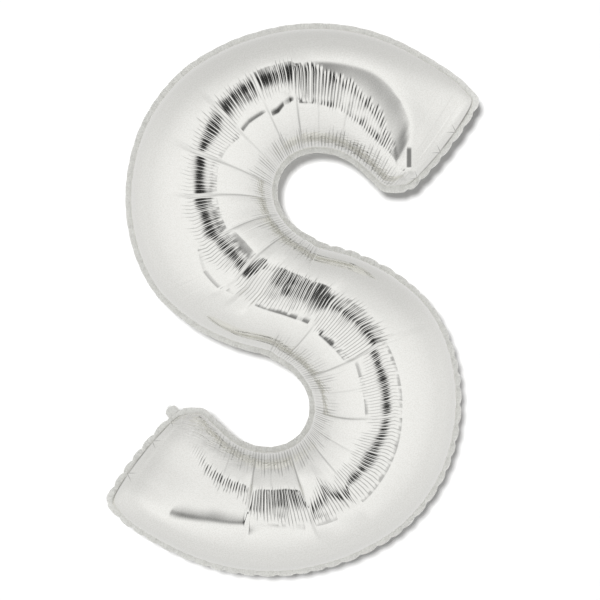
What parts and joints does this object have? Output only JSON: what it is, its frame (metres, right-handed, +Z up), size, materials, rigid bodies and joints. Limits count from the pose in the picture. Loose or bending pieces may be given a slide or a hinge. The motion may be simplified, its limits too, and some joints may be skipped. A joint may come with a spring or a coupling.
{
  "type": "letter foil balloon",
  "caption": "Inflated foil balloon shaped as a capital S: a round tube of welded film sheets with a flat scalloped weld border, sealed ends and a filler neck.",
  "frame": {"origin": "centre of the balloon, in the plane of its weld; this is where the air holds it up", "axes": "+Z up the letter, +X to the reader's right, -Y out of the letter's front, so the letter reads as S from -Y"},
  "size_m": [0.6858, 0.2484, 1.0187],
  "materials": {
    "silver_film": "bright satin mirror of metal-coated film, puckered",
    "welded_film": "satin, flat heat-welded border",
    "clear_film": "milky clear valve film"
  },
  "bodies": {
    "root": {"front_foil": "silver_film", "back_foil": "silver_film", "seal_band": "welded_film", "fill_tail": "welded_film", "valve_film": "clear_film"}
  },
  "joints": []
}
